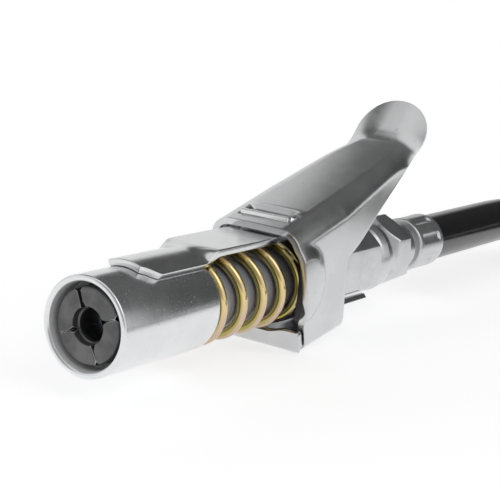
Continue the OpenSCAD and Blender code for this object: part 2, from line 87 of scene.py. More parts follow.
class Tree:
    """Short calls for making shader nodes: an input takes a value or another node's output."""

    def __init__(self, owner):
        owner.use_nodes = True
        self.nodes = owner.node_tree.nodes
        self.links = owner.node_tree.links
        self.nodes.clear()

    def add(self, kind, inputs=(), out=0, **settings):
        made = self.nodes.new("ShaderNode" + kind)
        for key, value in settings.items():
            setattr(made, key, value)
        for key, value in dict(inputs).items():
            if isinstance(value, bpy.types.NodeSocket):
                self.links.new(value, made.inputs[key])
            else:
                made.inputs[key].default_value = value
        return made.outputs[out] if len(made.outputs) else None

    def math(self, operation, a, b=0.0, c=0.0):
        return self.add("Math", {0: a, 1: b, 2: c}, operation=operation)

    def smooth(self, value, low, high, start=0.0, end=1.0):
        return self.add(
            "MapRange", {0: value, 1: low, 2: high, 3: start, 4: end},
            interpolation_type="SMOOTHSTEP",
        )

    def mix(self, factor, a, b):
        return self.add("Mix", {0: factor, 6: a, 7: b}, out=2, data_type="RGBA")

    def noise(self, vector, scale, detail=3.0, rough=0.55):
        return self.add(
            "TexNoise", {"Vector": vector, "Scale": scale, "Detail": detail, "Roughness": rough},
        )

    def stretched(self, x, y, z):
        coords = self.add("TexCoord", out=3)
        return self.add("Mapping", {"Vector": coords, "Scale": (x, y, z)})

    def ramp(self, factor, stops):
        made = self.nodes.new("ShaderNodeValToRGB")
        self.links.new(factor, made.inputs[0])
        while len(made.color_ramp.elements) < len(stops):
            made.color_ramp.elements.new(0.5)
        for element, (place, colour) in zip(made.color_ramp.elements, stops):
            element.position = place
            element.color = (*colour, 1)
        return made.outputs[0]

    def bump(self, height, strength, distance):
        return self.add("Bump", {"Height": height, "Strength": strength, "Distance": distance})

    def surface(self, shader):
        self.add("OutputMaterial", {"Surface": shader})


def grey(value):
    return (value, value, value, 1)


def turned_steel(name, tone, rough, ring=2200.0, specks=0.5, relief=0.04, metal=1.0):
    """Turned metal: fine rings round the X axis, small specks and a mottled gloss."""
    mat = bpy.data.materials.new(name)
    t = Tree(mat)
    rings = t.noise(t.stretched(1, 0.02, 0.02), ring, 4, 0.7)
    wide = t.noise(t.stretched(1, 0.05, 0.05), 420, 2)
    cloud = t.noise(t.stretched(1, 1, 1), 150, 4)
    dots = t.noise(t.stretched(1, 1, 1), 2400, 0)
    speck = t.smooth(dots, 0.76, 0.86)
    colour = t.mix(t.smooth(cloud, 0.35, 0.7), (*[0.95 * c for c in tone], 1), (*tone, 1))
    colour = t.mix(t.math("MULTIPLY", speck, specks), colour, grey(0.55))
    lines = t.math("ADD", t.math("MULTIPLY", rings, 0.6), t.math("MULTIPLY", wide, 0.4))
    gloss = t.math("MULTIPLY_ADD", lines, 0.10, rough - 0.05)
    gloss = t.math("MULTIPLY_ADD", cloud, 0.06, t.math("SUBTRACT", gloss, 0.03))
    gloss = t.math("MULTIPLY_ADD", speck, 0.22, gloss)
    normal = t.bump(t.math("SUBTRACT", lines, t.math("MULTIPLY", speck, 0.3)), relief, 0.00005)
    t.surface(t.add("BsdfPrincipled", {
        "Base Color": colour, "Metallic": metal, "Roughness": gloss, "Normal": normal,
    }))
    return mat


def plated_sheet(name, tone, rough):
    """Zinc on rolled sheet: mottled gloss, faint rolling lines, small pits and dull patches."""
    mat = bpy.data.materials.new(name)
    t = Tree(mat)
    cloud = t.noise(t.stretched(1, 1, 1), 110, 5, 0.6)
    fine = t.noise(t.stretched(1, 1, 1), 900, 3, 0.6)
    roll = t.noise(t.stretched(0.06, 1, 0.06), 1300, 3, 0.6)
    dots = t.noise(t.stretched(1, 1, 1), 620, 1)
    pit = t.smooth(dots, 0.72, 0.78)
    low = (0.90 * tone[0], 0.90 * tone[1], 0.905 * tone[2], 1)
    colour = t.mix(t.smooth(cloud, 0.32, 0.68), low, (*tone, 1))
    colour = t.mix(t.math("MULTIPLY", pit, 0.35), colour, grey(0.4))
    gloss = t.math("MULTIPLY_ADD", cloud, 0.14, rough - 0.10)
    gloss = t.math("MULTIPLY_ADD", fine, 0.06, gloss)
    height = t.math("ADD", t.math("MULTIPLY", roll, 0.5), t.math("MULTIPLY", fine, 0.7))
    height = t.math("SUBTRACT", height, t.math("MULTIPLY", pit, 0.5))
    t.surface(t.add("BsdfPrincipled", {
        "Base Color": colour, "Metallic": 1.0, "Roughness": gloss,
        "Normal": t.bump(height, 0.05, 0.00008),
    }))
    return mat


def bright_plate(name, tone, rough):
    """Bright zinc on turned hexagon bar: tool lines, water marks and a few handling scratches."""
    mat = bpy.data.materials.new(name)
    t = Tree(mat)
    cloud = t.noise(t.stretched(1, 1, 1), 190, 4, 0.6)
    lines = t.noise(t.stretched(0.08, 1, 1), 1400, 2)
    scratch = t.noise(t.stretched(1, 0.05, 1), 900, 2)
    mark = t.smooth(scratch, 0.66, 0.72)
    dull = (0.88 * tone[0], 0.88 * tone[1], 0.89 * tone[2], 1)
    colour = t.mix(t.smooth(cloud, 0.35, 0.65), dull, (*tone, 1))
    gloss = t.math("MULTIPLY_ADD", cloud, 0.16, rough - 0.08)
    gloss = t.math("MULTIPLY_ADD", mark, 0.15, gloss)
    height = t.math("ADD", t.math("MULTIPLY", lines, 0.5), t.math("MULTIPLY", mark, -0.4))
    t.surface(t.add("BsdfPrincipled", {
        "Base Color": colour, "Metallic": 1.0, "Roughness": gloss,
        "Normal": t.bump(height, 0.04, 0.00005),
    }))
    return mat


def phosphate(name, tone, rough):
    """Dark phosphated steel with a fine crystalline grain and oily patches."""
    mat = bpy.data.materials.new(name)
    t = Tree(mat)
    grain = t.noise(t.stretched(1, 1, 1), 2600, 3, 0.7)
    patch = t.noise(t.stretched(1, 1, 1), 260, 4)
    colour = t.mix(t.smooth(patch, 0.3, 0.7), grey(0.75 * tone), grey(1.15 * tone))
    glint = t.math("MULTIPLY", t.smooth(grain, 0.6, 0.75), 0.35)
    colour = t.mix(glint, colour, grey(2.2 * tone))
    gloss = t.math("MULTIPLY_ADD", patch, -0.2, rough + 0.1)
    t.surface(t.add("BsdfPrincipled", {
        "Base Color": colour, "Metallic": 0.75, "Roughness": gloss,
        "Normal": t.bump(grain, 0.18, 0.00006),
    }))
    return mat


def yellow_zinc(name):
    """Yellow chromate on spring wire: gold that turns pink below, partly its own tint and partly
    painted light, with a painted highlight where it faces up and olive painted shade where it faces
    the front.
    """
    mat = bpy.data.materials.new(name)
    t = Tree(mat)
    split = t.nodes.new("ShaderNodeSeparateXYZ")
    t.links.new(t.add("TexCoord", out=1), split.inputs[0])
    front, _, up = split.outputs
    cloud = t.noise(t.stretched(1, 1, 1), 240, 4)
    fine = t.noise(t.stretched(1, 1, 1), 1600, 2)
    # Colour by facing up or down: the chromate's gold and pink tint plus painted light, lightest on
    # the upward faces.
    tint_and_painted_light = t.math("MULTIPLY_ADD", up, 0.5, 0.5)
    tint_and_painted_light = t.math("MULTIPLY_ADD", t.math("SUBTRACT", cloud, 0.5), 0.4, tint_and_painted_light)
    colour = t.ramp(tint_and_painted_light, [
        (0.00, (0.52, 0.39, 0.28)), (0.30, (0.65, 0.49, 0.37)), (0.48, (0.74, 0.57, 0.33)),
        (0.66, (0.85, 0.66, 0.34)), (0.85, (0.80, 0.63, 0.32)), (1.00, (0.64, 0.52, 0.25)),
    ])
    # Olive painted shade on the faces towards -X, the front.
    painted_front_shade = t.math("MULTIPLY_ADD", cloud, 0.3, t.math("MULTIPLY", front, -1.0))
    colour = t.mix(t.smooth(painted_front_shade, 0.82, 1.18), colour, (0.40, 0.36, 0.11, 1))
    gloss = t.math("MULTIPLY_ADD", fine, 0.08, 0.12)
    t.surface(t.add("BsdfPrincipled", {
        "Base Color": colour, "Metallic": 1.0, "Roughness": gloss,
        "Normal": t.bump(fine, 0.02, 0.00004),
    }))
    return mat


def rubber(name, tone, rough, grain, gloss_level=0.45):
    """Black rubber with a fine moulded skin and a dusty, uneven sheen."""
    mat = bpy.data.materials.new(name)
    t = Tree(mat)
    skin = t.noise(t.stretched(1, 1, 1), 1900, 3, 0.6)
    dust = t.noise(t.stretched(1, 1, 1), 160, 5, 0.6)
    colour = t.mix(t.smooth(dust, 0.4, 0.75), grey(tone), grey(1.7 * tone))
    gloss = t.math("MULTIPLY_ADD", dust, 0.16, rough - 0.08)
    t.surface(t.add("BsdfPrincipled", {
        "Base Color": colour, "Roughness": gloss, "Specular IOR Level": gloss_level,
        "Normal": t.bump(skin, grain, 0.00006),
    }))
    return mat


SLEEVE = turned_steel("sleeve_steel", (0.80, 0.81, 0.82), 0.23)
# Bore of the mouth: rougher, more speckled turned steel, kept light and barely metallic as painted
# light against the shade inside.
MOUTH_LIT_STEEL = turned_steel("mouth_steel_painted_light", (0.88, 0.88, 0.88), 0.48, 1200, 0.9, 0.2, 0.12)
SHEET = plated_sheet("lever_sheet", (0.68, 0.685, 0.69), 0.23)
STRAP = plated_sheet("strap_sheet", (0.76, 0.765, 0.765), 0.20)
JAW = phosphate("jaw_phosphate", 0.16, 0.46)
WORN = phosphate("jaw_worn_edge", 0.62, 0.30)
BARREL = turned_steel("barrel_steel", (0.50, 0.53, 0.64), 0.30, 1500, 0.2, 0.10, 0.65)
# Near-black steel on the spring collar: painted shade for the dark inside of the lever.
COLLAR_SHADE = turned_steel("collar_painted_shade", (0.07, 0.07, 0.075), 0.42, 1500, 0.2, 0.10, 0.65)
GOLD = yellow_zinc("spring_zinc")
PLATE = bright_plate("hex_plate", (0.69, 0.695, 0.71), 0.30)
FERRULE = bright_plate("ferrule_plate", (0.70, 0.705, 0.715), 0.34)
WASHER = phosphate("washer_steel", 0.30, 0.38)
SEAL = rubber("seal_rubber", 0.018, 0.42, 0.15)
HOSE = rubber("hose_rubber", 0.006, 0.19, 0.05, 0.85)


# Meshes

def rounded(points, radii, steps):
    """A closed 2-D outline whose corners are arcs of the given radii, within half of each side."""
    count = len(points)
    out = []
    for i, (x, y) in enumerate(points):
        r = radii[i]
        if r <= 0:
            out.append((x, y))
            continue
        a = np.subtract(points[i - 1], (x, y))
        b = np.subtract(points[(i + 1) % count], (x, y))
        la, lb = np.hypot(*a), np.hypot(*b)
        a, b = a / la, b / lb
        half = math.acos(max(-1, min(1, float(a @ b)))) / 2
        reach = min(max(r / math.tan(half), 0.35 * r), 0.48 * la, 0.48 * lb)
        if half > math.radians(89.5):
            spread = [2 * k / steps - 1 for k in range(steps + 1)]
            out.extend(tuple(np.add((x, y), reach * (b * s if s > 0 else a * -s))) for s in spread)
            continue
        r = reach * math.tan(half)
        middle = (a + b) / np.hypot(*(a + b)) * r / math.sin(half)
        centre = np.add((x, y), middle)
        start = np.add((x, y), a * reach) - centre
        end = np.add((x, y), b * reach) - centre
        sweep = math.pi - 2 * half
        turn = math.copysign(1, start[0] * end[1] - start[1] * end[0])
        for k in range(steps + 1):
            angle = turn * sweep * k / steps
            c, s = math.cos(angle), math.sin(angle)
            out.append((
                centre[0] + c * start[0] - s * start[1], centre[1] + s * start[0] + c * start[1],
            ))
    return out


def clamp(value):
    return max(0.0, min(1.0, value))


def ease(value, low, high):
    t = clamp((value - low) / (high - low))
    return t * t * (3 - 2 * t)


def piece(name, verts, faces, body, materials, node, slot, crease, place=None):
    """A mesh object in the shared frame, from points in millimetres."""
    data = bpy.data.meshes.new(name)
    points = [tuple(MM * c for c in (place(v) if place else v)) for v in verts]
    data.from_pydata(points, [], faces)
    work = bmesh.new()
    work.from_mesh(data)
    bmesh.ops.remove_doubles(work, verts=work.verts, dist=1e-7)
    bmesh.ops.recalc_face_normals(work, faces=work.faces)
    work.to_mesh(data)
    work.free()
    data.shade_smooth()
    data.set_sharp_from_angle(angle=math.radians(crease))
    for mat in materials if isinstance(materials, tuple) else (materials,):
        data.materials.append(mat)
    obj = bpy.data.objects.new(name, data)
    scene.collection.objects.link(obj)
    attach(obj, body)
    if node:
        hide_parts(node)
    return obj


def bevel(obj, width, segments, angle, material=-1):
    mod = obj.modifiers.new("bevel", "BEVEL")
    mod.width = width * MM
    mod.segments = segments
    mod.limit_method = "ANGLE"
    mod.angle_limit = math.radians(angle)
    mod.material = material


def spin(profile_at, angles):
    """Rows of (x, r) profiles, one for each angle about the X axis, closed both ways."""
    profiles = [profile_at(a) for a in angles]
    rows, count = len(profiles[0]), len(angles)
    verts = [(x, r * math.cos(a), r * math.sin(a)) for a, p in zip(angles, profiles) for x, r in p]
    faces = []
    for i in range(count):
        k = (i + 1) % count
        for j in range(rows):
            m = (j + 1) % rows
            faces.append((i * rows + j, i * rows + m, k * rows + m, k * rows + j))
    return verts, faces


def prism_faces(sides, steps):
    """Faces between rings of points, one ring more than there are steps, with a cap at each end."""
    faces = []
    for i in range(steps):
        for j in range(sides):
            a, b = i * sides + j, i * sides + (j + 1) % sides
            faces.append((a, b, b + sides, a + sides))
    faces.append(tuple(range(sides)))
    faces.append(tuple(steps * sides + j for j in range(sides)))
    return faces


def round_angles(count):
    return [TAU * i / count for i in range(count)]


def hex_outline(af, corner_r, turn=0.0):
    """Angles and radii round a hexagon with flats facing +Y and -Y and rounded corners."""
    corner = af / math.sqrt(3) - corner_r / math.cos(math.radians(30))
    edge = math.atan2(corner_r * 0.5, corner + corner_r * math.cos(math.radians(30)))
    deltas = [edge * k / 3 for k in range(-3, 4)]
    side = [edge + (math.radians(60) - 2 * edge) * k / 8 for k in range(1, 8)]
    out = []
    for i in range(6):
        base = math.radians(30 + 60 * i)
        for d in deltas:
            r = corner * math.cos(d) + math.sqrt(corner_r ** 2 - (corner * math.sin(d)) ** 2)
            out.append((base + d + turn, r))
        for d in side:
            out.append((base + d + turn, af / 2 / math.cos(d - math.radians(30))))
    return out


def hex_piece(outline, before, after, x0, x1, af, front=(0.35, 30), rear=(0.35, 30)):
    """A turned hexagon bar between two round stretches, given as profile points [x, r]."""
    radius = dict(outline)
    ends = [(af / 2 - inset, math.tan(math.radians(angle))) for inset, angle in (front, rear)]
    (front_r, front_slope), (rear_r, rear_slope) = ends

    def profile(angle):
        r = radius[angle]
        points = [
            *before, (x0, front_r), (x0 + (r - front_r) * front_slope, r),
            (x1 - (r - rear_r) * rear_slope, r), (x1, rear_r), *after,
        ]
        radii = [0.12] * len(before) + [0.3, 0.9, 0.9, 0.5] + [0.35] * len(after)
        return rounded(points, radii, 4)

    return spin(profile, [a for a, r in outline])


FERRULE_LEN = 12.5


def ferrule_mesh():
    """A crimped sleeve with eight flutes that run out short of its ends."""
    outer, inner, flute, sunk, flutes = 6.6, 2.7, 2.0, 0.5, 8
    plain, full = 1.7, 2.5

    def profile(angle):
        delta = (angle / TAU * flutes % 1 - 0.5) * (TAU / flutes)
        far = outer + flute - sunk
        inside = flute ** 2 - (far * math.sin(delta)) ** 2
        deep = outer - (far * math.cos(delta) - math.sqrt(inside)) if inside > 0 else 0
        low = outer - max(0, deep)
        points = [
            (0, inner), (0, outer), (plain, outer), (full, low),
            (FERRULE_LEN - full, low), (FERRULE_LEN - plain, outer), (FERRULE_LEN, outer),
            (FERRULE_LEN, inner),
        ]
        return rounded(points, [0, 0.55, 0.5, 0.5, 0.5, 0.5, 0.55, 0], 3)

    return spin(profile, round_angles(128))


# Hose: a tube that follows the route of its CAD solid

ROUTE = [
    (128, 0, 0), (141, 0, 0), (154, 0, 0), (166, 0, 0), (178, 0, -0.3), (193.5, -2.5, -1.4),
    (207.5, -9.5, -3), (218.5, -20.5, -4.7), (225.5, -34.5, -6.1), (228, -50, -7),
    (225.5, -65.5, -7.4), (218.5, -79.5, -7.4), (207.5, -90.5, -7.4), (193.5, -97.5, -7.4),
    (178, -100, -7.4), (162, -100, -7.4), (146, -100, -7.3), (130, -100, -7), (115, -100, -6.7),
    (100, -100, -6.4), (85, -100, -6.3),
]
FAR_END = ROUTE[-1]
HOSE_R = 5.8


def smooth_route(points, steps):
    """Points on a smooth curve through the given ones (Catmull-Rom)."""
    p = np.array(points, float)
    p = np.vstack([2 * p[0] - p[1], p, 2 * p[-1] - p[-2]])
    out = []
    for i in range(1, len(p) - 2):
        for k in range(steps):
            t = k / steps
            a, b, c, d = p[i - 1], p[i], p[i + 1], p[i + 2]
            out.append(0.5 * (
                2 * b + (c - a) * t + (2 * a - 5 * b + 4 * c - d) * t ** 2
                + (3 * b - a - 3 * c + d) * t ** 3
            ))
    return np.array(out + [p[-2]])


def make_hose():
    line = smooth_route(ROUTE, 6) * MM
    data = bpy.data.curves.new("hose_tube", "CURVE")
    data.dimensions = "3D"
    data.bevel_depth = HOSE_R * MM
    data.bevel_resolution = 14
    data.use_fill_caps = True
    spline = data.splines.new("POLY")
    spline.points.add(len(line) - 1)
    spline.points.foreach_set("co", np.hstack([line, np.ones((len(line), 1))]).ravel())
    spline.use_smooth = True
    data.materials.append(HOSE)
    obj = bpy.data.objects.new("hose_tube", data)
    scene.collection.objects.link(obj)
    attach(obj, "barrel_body")
    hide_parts("hose")
    return obj, float(np.linalg.norm(np.diff(line, axis=0), axis=1).sum())


hose, hose_length = make_hose()


def far_place(v):
    """From a fitting's own axis to the hose's far end, which points back along -X."""
    return FAR_END[0] - v[0], FAR_END[1] - v[1], FAR_END[2] + v[2]


def far_fitting_mesh():
    """A hexagon with a male thread, whose ridges climb one pitch a turn."""
    af, front, rear = 14.0, 14.5, 23.5
    root, ridge, pitch, start, end = 4.55, 0.47, 0.94, 23.9, 33.2
    outline = hex_outline(af, 0.5, math.radians(30))
    radius = dict(outline)
    face, slope = af / 2 - 0.35, math.tan(math.radians(30))
    count = int((end - start) / pitch * 8)

    def profile(angle):
        r = radius[angle]
        lead = (r - face) * slope
        points = [
            (2, 1.8), (2, 2.6), (12.5, 2.6), (12.5, 5), (front, 5), (front, face),
            (front + lead, r), (rear - lead, r), (rear, face), (rear, root), (start, root),
        ]
        radii = [0, 0, 0, 0.15, 0.12, 0.3, 0.9, 0.9, 0.3, 0.1, 0]
        body = rounded(points, radii, 3)[:-1]
        for k in range(count + 1):
            x = start + (end - start) * k / count
            wave = 2 * abs((x / pitch - angle / TAU) % 1 - 0.5)
            fade = min(1, (x - start) / pitch, (end - x) / pitch)
            body.append((x, root + ridge * fade * min(1, 1.25 * wave)))
        return body + [(33.5, 4.3), (33.5, 2.1), (33.2, 1.8)]

    return spin(profile, [a for a, r in outline])


far_ferrule = piece(
    "far_ferrule_crimp", *ferrule_mesh(), "barrel_body", FERRULE, "far_ferrule", "bright_plate", 50,
    far_place,
)
far_fitting = piece(
    "far_fitting_hex", *far_fitting_mesh(), "barrel_body", PLATE, "far_fitting", "bright_plate",
    40, far_place,
)


# Sleeve, jaws, barrel and springs

def make_sleeve():
    outline = rounded(
        [
            (-3, 8.2), (-3, 9.5), (26, 9.5), (26, 7.08), (12.3, 7.08), (12.3, 7.35), (2.4, 7.35),
            (1.4, 8.2),
        ],
        [0.7, 0.5, 0.5, 0.2, 0.05, 0.05, 0.15, 0.15], 6,
    )
    verts, faces = spin(lambda a: outline, round_angles(192))
    obj = piece(
        "sleeve_shell", verts, faces, "sleeve_body", (SLEEVE, MOUTH_LIT_STEEL), "outer_sleeve",
        "turned_steel", 50,
    )
    # Faces inside the bore take the mouth's lighter steel, painted light.
    inside_r = 8.3 * MM
    for face in obj.data.polygons:
        if math.hypot(face.center.y, face.center.z) < inside_r:
            face.material_index = 1


def jaw_notch(x, r):
    """How far a jaw's flank stands back at its rim and, on its front face, at its hole."""
    rim = 0.8 * max(0, r - 6.5)
    hole = 0.42 * max(0, 4.6 - max(r, 3.4)) if x < -0.8 else 0
    return rim + hole


def make_jaw(index):
    """A quarter jaw whose flanks open into small notches at its rim and at its hole."""
    start = math.radians(67 + 90 * index)
    points = [
        (-1.8, 3.55), (-1.8, 3.95), (-1.83, 4.6), (-1.85, 5.4), (-1.83, 6.1), (-1.8, 6.5),
        (-1.8, 7.2), (3.5, 7.2), (4.2, 6.5), (9.85, 6.5), (9.85, 6.0), (11.15, 6.0), (11.15, 6.5),
        (11.5, 6.5), (11.5, 4.55), (9.5, 4.55), (9.5, 5.4), (6.0, 5.4), (6.0, 4.2), (1.6, 4.2),
        (1.0, 3.2), (-0.2, 3.1), (-0.5, 3.4),
    ]
    radii = [0.12] + [0] * 5 + [0.5, 0.2, 0.2] + [0] * 4 + [0.2] * 2 + [0.1] * 8
    outline = rounded(points, radii, 3)
    steps = 24
    wide, narrow = (0.18, 0.10), (0.07, 0.0)  # half a slit at its inner end, and its growth
    flanks = [wide if index == 0 else narrow, wide if index == 3 else narrow]
    verts = []
    for i in range(steps + 1):
        for x, r in outline:
            notch = jaw_notch(x, r)
            lo, hi = (
                math.asin((base + grow * max(0, r - 3.5) + notch) / r) for base, grow in flanks
            )
            hi = math.pi / 2 - hi
            a = start + lo + (hi - lo) * i / steps
            verts.append((x, r * math.cos(a), r * math.sin(a)))
    name = f"jaw_{index + 1}"
    obj = piece(
        name + "_quarter", verts, prism_faces(len(outline), steps), name + "_body", (JAW, WORN),
        name, "dark_steel", 45,
    )
    bevel(obj, 0.1, 2, 50, material=1)


def make_barrel():
    outline = rounded(
        [
            (6.2, 3.7), (6.2, 4.9), (9.2, 4.9), (9.2, 4.3), (11.8, 4.3), (11.8, 7), (61.5, 7),
            (61.5, 5.9), (74.5, 5.9), (74.5, 3.2), (21.5, 3.2), (19.8, 1.5), (8.6, 1.5), (8.6, 3.7),
        ],
        [0.1, 0.2, 0.1, 0.1, 0.1, 0.3, 0.1, 0.1, 0.4, 0.1, 0.1, 0.1, 0.1, 0.1], 3,
    )
    verts, faces = spin(lambda a: outline, round_angles(160))
    piece("barrel_tube", verts, faces, "barrel_body", BARREL, "barrel", "barrel_steel", 40)


def make_spring(node, mat, slot, x0, length, radius, wire, turns):
    """A coil that follows its CAD solid in finer steps."""
    closed, steps, sides, spare = 0.5, 64, 24, 0.1
    lead = 0.45 * wire
    pitch = (length - wire - 2 * lead - spare) / turns
    total = turns + 2 * closed
    count = int(total * steps)

    def rise(t):
        ends = lead * min(t, closed) / closed + lead * max(0, t - total + closed) / closed
        return (wire + spare) / 2 + ends + pitch * max(0, min(t, total - closed) - closed)

    verts = []
    for i in range(count + 1):
        t = i / steps
        near = [rise(min(total, max(0, t + d))) for d in (-0.06, -0.03, 0, 0.03, 0.06)]
        x, a = x0 + sum(near) / 5, TAU * t
        for j in range(sides):
            b = TAU * j / sides
            q = radius + wire / 2 * math.cos(b)
            verts.append((x + wire / 2 * math.sin(b), q * math.cos(a), q * math.sin(a)))
    faces = prism_faces(sides, count)
    obj = piece(node + "_wire", verts, faces, "barrel_body", mat, node, slot, 40)
    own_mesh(obj)


make_sleeve()
for jaw_index in range(4):
    make_jaw(jaw_index)
make_barrel()
make_spring("main_spring", GOLD, "yellow_zinc", 26.0, 32.5, 8.25, 2.2, 4)
make_spring("check_spring", BARREL, "barrel_steel", 23.965, 13.0, 2.45, 0.6, 6)


# Rear body, washer, hose fitting and ferrule

piece(
    "rear_hex",
    *hex_piece(
        hex_outline(16.5, 0.55), [(61.5, 6.0), (61.5, 8.3), (67, 8.3)],
        [
            (92.3, 6.7), (94.0, 8.0), (96.0, 8.4), (97.9, 8.15), (98.6, 7.4), (98.6, 5.1),
            (84.6, 5.1), (84.6, 2.5), (75, 2.5), (75, 6.0),
        ],
        67, 92.1, 16.5, rear=(0.05, 48),
    ),
    "barrel_body", PLATE, "rear_body", "bright_plate", 40,
)
washer = rounded([(98.6, 5.1), (98.6, 6.8), (99.8, 6.8), (99.8, 5.1)], [0.1, 0.3, 0.3, 0.1], 4)
piece(
    "inlet_ring", *spin(lambda a: washer, round_angles(128)), "barrel_body", WASHER,
    "inlet_washer", "dark_steel", 40,
)
piece(
    "fitting_hex",
    *hex_piece(
        hex_outline(15.4, 0.55), [(86.6, 1.8), (86.6, 5), (99.8, 5)],
        [
            (108, 6.1), (113.5, 6.1), (113.5, 5), (115.5, 5), (115.5, 2.6), (127.5, 2.6),
            (127.5, 1.8),
        ],
        99.8, 108, 15.4, front=(0.8, 45),
    ),
    "barrel_body", PLATE, "hose_fitting", "bright_plate", 40,
)
piece(
    "ferrule_crimp", *ferrule_mesh(), "barrel_body", FERRULE, "ferrule", "bright_plate", 50,
    lambda v: (v[0] + 115.5, v[1], v[2]),
)


# Pull strap

SHEET_THICK, SHEET_EDGE = 1.4, 0.22


def sheet_piece(name, verts, faces, body, mat, node):
    """Bent sheet: an outer face, thickened inwards, with worn round edges."""
    data = bpy.data.meshes.new(name)
    data.from_pydata([tuple(MM * c for c in v) for v in verts], [], faces)
    data.shade_smooth()
    data.materials.append(mat)
    obj = bpy.data.objects.new(name, data)
    scene.collection.objects.link(obj)
    solid = obj.modifiers.new("sheet", "SOLIDIFY")
    solid.thickness = SHEET_THICK * MM
    solid.offset = -1
    solid.use_even_offset = True
    bevel(obj, SHEET_EDGE, 3, 40)
    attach(obj, body)
    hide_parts(node)


def make_strap():
    """Sheet over the sleeve that steps up, runs flat over the spring and turns up into a tab."""
    outer_r, top, strap_half, tab_half, tab_x = 10.98, 11.2, 6.3, 5.9, 52.874
    step_x, step_run, step_parts = 24.4, 4.8, 14
    columns = []  # place along X, half width, and 0 where round to 1 where flat
    for x in (
        7.4, 7.7, 8.0, 8.3, 8.6, 8.9, 9.2, 9.5, 9.8, 10.2, 10.6, 11, 12.5, 14.5, 17, 19.5, 22,
        step_x,
    ):
        columns.append((x, strap_half * (0.58 + 0.42 * ease(x, 7.0, 10.8)), 0.0))
    for k in range(1, step_parts):
        t = k / step_parts
        columns.append((step_x + step_run * t, strap_half, (1 - math.cos(math.pi * t)) / 2))
    for x in (29.4, 32, 35, 38, 41, 44, 46.5, 48.2, 49.8, 51.2):
        columns.append((x, strap_half - 0.4 * clamp((x - 47.9) / 3), 1.0))
    rows = 24
    across = [2 * j / rows - 1 for j in range(rows + 1)]
    verts = []
    for x, half, flat in columns:
        for s in across:
            y = half * s
            verts.append((x, y, (1 - flat) * math.sqrt(outer_r ** 2 - y * y) + flat * top))
    for k in range(1, 9):
        a = math.pi / 2 * k / 8
        for s in across:
            verts.append((tab_x - 1 + math.sin(a), tab_half * s, top + 1 - math.cos(a)))
    for z in (12.8, 13.4, 14.0, 14.4, 14.75):
        for s in across:
            verts.append((tab_x, tab_half * s, z))
    line = len(across)
    faces = []
    for i in range(len(verts) // line - 1):
        for j in range(rows):
            a = i * line + j
            faces.append((a, a + line, a + line + 1, a + 1))
    sheet_piece("pull_strap_sheet", verts, faces, "sleeve_body", STRAP, "pull_strap")


make_strap()


# Thumb lever: u runs along its back from the front edge, v stands out of the back

LEVER_X, LEVER_Z, SLOPE = 49.5, 13.0008, math.radians(15.2)
FRONT, HALF, SHOULDER, ARCH_DROP, WALL_DROP, FOOT_BEND = 19.0, 11.0, 4.75, 13.4, 27.5, 2.4
FOOT_END, FOOT_TILT = 15.4, 0.1
PIVOT_U, PIVOT_V = 0.8, -12.65
SLOT_FRONT, SLOT_REAR, SLOT_HALF = 2.9, 7.4, 6.2
LIP_RUN, CROWN, TINY = 5.4, 0.11, 1e-6
BEND_U, BACK_LEN = 46.3, 52.3
PAD_BEND, PAD_SLOPE, PAD_RUN, PAD_LEN = 8.0, math.radians(50), 3, 8.6
PAD_HALF, PAD_FLAT, PAD_DROP = 9.1, 1.5, 1.2

# Rows from the crown down: the arch, the wall, the bend at its foot and half of the bottom plate
FLAT = HALF - SHOULDER
TURN_END = FLAT + SHOULDER * math.pi / 2
STATIONS = np.concatenate([
    np.linspace(0, 5.6, 9), [SLOT_HALF], np.linspace(FLAT + 0.45, TURN_END, 15),
    np.linspace(TURN_END + 0.5, TURN_END + ARCH_DROP - SHOULDER, 17),
])
FRACTIONS = STATIONS / (TURN_END + ARCH_DROP - SHOULDER)
WALL_ROWS, FOOT_ROWS, PLATE_ROWS = 24, 8, 9
ARCH_ROW = len(STATIONS) - 1
FOOT_ROW = ARCH_ROW + WALL_ROWS
FLOOR_ROW = FOOT_ROW + FOOT_ROWS
MIDDLE_ROW = FLOOR_ROW + PLATE_ROWS

# How deep the back's edges hang, and how wide it is flat, along the back
DROP_U = [FRONT, 22, 26, 30, 34, 38, 42, BEND_U, 49, BACK_LEN, 53, 53.7, 54.4, BACK_LEN + PAD_RUN]
DROP_V = [ARCH_DROP, 13, 11.95, 10.5, 9.05, 7.75, 6.45, 5.1, 3.9, 2.35, 1.9, 1.5, 1.25, PAD_DROP]
FLAT_U = [FRONT, BEND_U - 6, BEND_U, BACK_LEN, BACK_LEN + PAD_RUN]
FLAT_Y = [FLAT, 6.0, 5.4, 4.2, PAD_FLAT]


def lever_point(u, v):
    return (
        LEVER_X + u * math.cos(SLOPE) - v * math.sin(SLOPE),
        LEVER_Z + u * math.sin(SLOPE) + v * math.cos(SLOPE),
    )


def arch_outline(half, flat, drop):
    """Fine points [y, depth] across half of the lever's back, from its crown to its edge."""
    reach = half - flat
    turn = 2 * math.atan(drop / reach) if drop < reach else math.pi / 2
    r = reach / math.sin(turn)
    crown = CROWN * min(1, flat / 6) ** 2
    points = [(flat * k / 6, crown * (k / 6) ** 2) for k in range(7)]
    for k in range(1, 33):
        a = turn * k / 32
        points.append((flat + r * math.sin(a), r * (1 - math.cos(a)) + crown * (1 - k / 32)))
    if drop > reach:
        points.append((half, drop))
    return np.array(points)


def arch_rows(half, flat, drop, fractions):
    """The outline's y and depth at the given shares of its length."""
    points = arch_outline(half, flat, drop)
    run = np.concatenate([[0], np.cumsum(np.hypot(*np.diff(points, axis=0).T))])
    share = run / run[-1]
    return np.interp(fractions, share, points[:, 0]), np.interp(fractions, share, points[:, 1])


